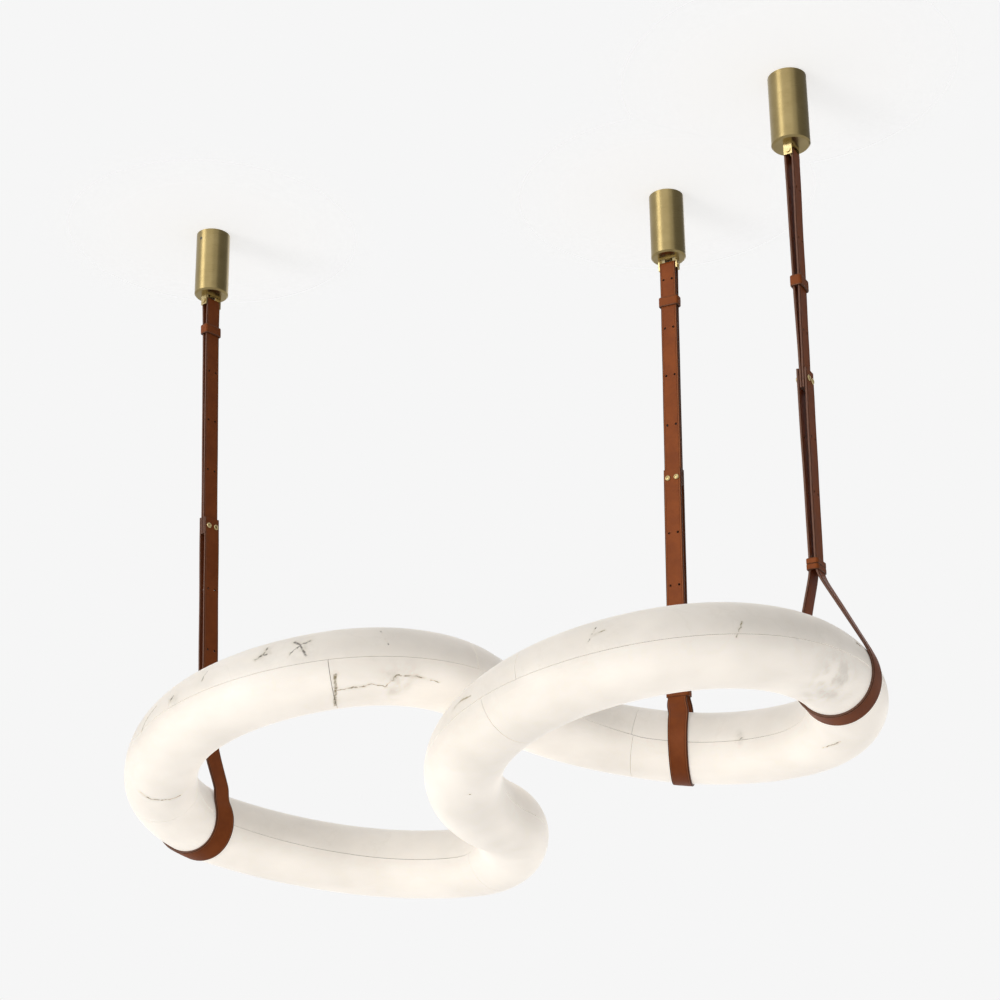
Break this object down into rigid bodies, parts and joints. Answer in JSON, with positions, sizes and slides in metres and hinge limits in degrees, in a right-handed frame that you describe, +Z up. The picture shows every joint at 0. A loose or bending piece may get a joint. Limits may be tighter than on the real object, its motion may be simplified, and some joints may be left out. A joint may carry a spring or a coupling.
{
  "type": "strap-hung alabaster loop pendant light",
  "caption": "Pendant light: one closed alabaster tube bent into two crossing loops, slung in doubled leather straps from three brass ceiling canopies.",
  "frame": {"origin": "on the ceiling, at the centre of the middle canopy's plate", "axes": "+Z up through the ceiling, +X to the right as the picture shows it, +Y away from the viewer"},
  "size_m": [1.221, 0.9144, 1.257],
  "materials": {
    "alabaster": "honed translucent stone with grey and amber veins",
    "satin_brass": "satin turned brass",
    "aged_brass": "aged brass",
    "cognac_leather": "cognac saddle leather with pale cut edges",
    "dark_leather": "dark cognac leather",
    "dark_steel": "dark steel",
    "zinc_steel": "zinc plated",
    "white_steel": "white powder coat",
    "clear_plastic": "clear acrylic",
    "silicone": "milky silicone",
    "white_plastic": "white plastic"
  },
  "bodies": {
    "ceiling": {"left_bracket": "aged_brass", "left_canopy_cover": "satin_brass", "left_ceiling_plate": "zinc_steel", "left_grub_screw": "dark_steel", "left_pin": "aged_brass", "left_stem": "satin_brass", "left_upper_strap": "cognac_leather", "light_driver": "white_plastic", "mid_bracket": "aged_brass", "mid_canopy_cover": "satin_brass", "mid_ceiling_plate": "zinc_steel", "mid_grub_screw": "dark_steel", "mid_pin": "aged_brass", "mid_stem": "satin_brass", "mid_upper_strap": "cognac_leather", "right_bracket": "aged_brass", "right_canopy_cover": "satin_brass", "right_ceiling_plate": "zinc_steel", "right_grub_screw": "dark_steel", "right_pin": "aged_brass", "right_stem": "satin_brass", "right_upper_strap": "cognac_leather", "terminal_block": "white_plastic"},
    "loops": {"frame_tubes": "white_steel", "left_sling_strap": "cognac_leather", "left_strap_studs": "satin_brass", "light_strips": "silicone", "lower_stone_shell_1": "alabaster", "lower_stone_shell_2": "alabaster", "lower_stone_shell_3": "alabaster", "lower_stone_shell_4": "alabaster", "lower_stone_shell_5": "alabaster", "lower_stone_shell_6": "alabaster", "mid_sling_strap": "cognac_leather", "mid_strap_studs": "satin_brass", "right_sling_strap": "cognac_leather", "right_strap_studs": "satin_brass", "shell_spacers": "clear_plastic", "upper_stone_shell_1": "alabaster", "upper_stone_shell_2": "alabaster", "upper_stone_shell_3": "alabaster", "upper_stone_shell_4": "alabaster", "upper_stone_shell_5": "alabaster", "upper_stone_shell_6": "alabaster", "upper_stone_shell_7": "alabaster"},
    "left_lower_keeper": {"left_lower_keeper": "dark_leather"},
    "left_roller": {"left_roller": "aged_brass"},
    "left_upper_keeper": {"left_upper_keeper": "dark_leather"},
    "mid_lower_keeper": {"mid_lower_keeper": "dark_leather"},
    "mid_roller": {"mid_roller": "aged_brass"},
    "mid_upper_keeper": {"mid_upper_keeper": "dark_leather"},
    "right_lower_keeper": {"right_lower_keeper": "dark_leather"},
    "right_roller": {"right_roller": "aged_brass"},
    "right_upper_keeper": {"right_upper_keeper": "dark_leather"}
  },
  "joints": [
    {"name": "loops_sway", "type": "slide", "parent": "ceiling", "child": "loops", "axis": [1, 0, 0], "range_m": [-0.04, 0.04], "stiffness_N_per_m": 450, "deforming": ["left_upper_strap", "left_sling_strap", "left_strap_studs", "mid_upper_strap", "mid_sling_strap", "mid_strap_studs", "right_upper_strap", "right_sling_strap", "right_strap_studs"]},
    {"name": "left_roller_turn", "type": "hinge", "parent": "ceiling", "child": "left_roller", "pos_m": [-0.854, 0.125, -0.141], "axis": [0.6424, 0.7663, 0], "continuous": true},
    {"name": "left_upper_keeper_slide", "type": "slide", "parent": "ceiling", "child": "left_upper_keeper", "axis": [-0.0315, 0.0269, 0.9991], "range_m": [-0.05, 0.005]},
    {"name": "left_lower_keeper_slide", "type": "slide", "parent": "loops", "child": "left_lower_keeper", "axis": [-0.0315, 0.0269, 0.9991], "range_m": [0, 0.04]},
    {"name": "mid_roller_turn", "type": "hinge", "parent": "ceiling", "child": "mid_roller", "pos_m": [0, 0, -0.141], "axis": [0.8868, -0.4621, 0], "continuous": true},
    {"name": "mid_upper_keeper_slide", "type": "slide", "parent": "ceiling", "child": "mid_upper_keeper", "axis": [0.0157, -0.0082, 0.9998], "range_m": [-0.05, 0.008]},
    {"name": "mid_lower_keeper_slide", "type": "slide", "parent": "loops", "child": "mid_lower_keeper", "axis": [0.0157, -0.0082, 0.9998], "range_m": [0, 0.04]},
    {"name": "right_roller_turn", "type": "hinge", "parent": "ceiling", "child": "right_roller", "pos_m": [0.165, -0.372, -0.141], "axis": [0.4952, 0.8688, 0], "continuous": true},
    {"name": "right_upper_keeper_slide", "type": "slide", "parent": "ceiling", "child": "right_upper_keeper", "axis": [0.0036, -0.0021, 1], "range_m": [-0.05, 0.02]},
    {"name": "right_lower_keeper_slide", "type": "slide", "parent": "loops", "child": "right_lower_keeper", "axis": [0.0036, -0.0021, 1], "range_m": [0, 0.04]}
  ]
}
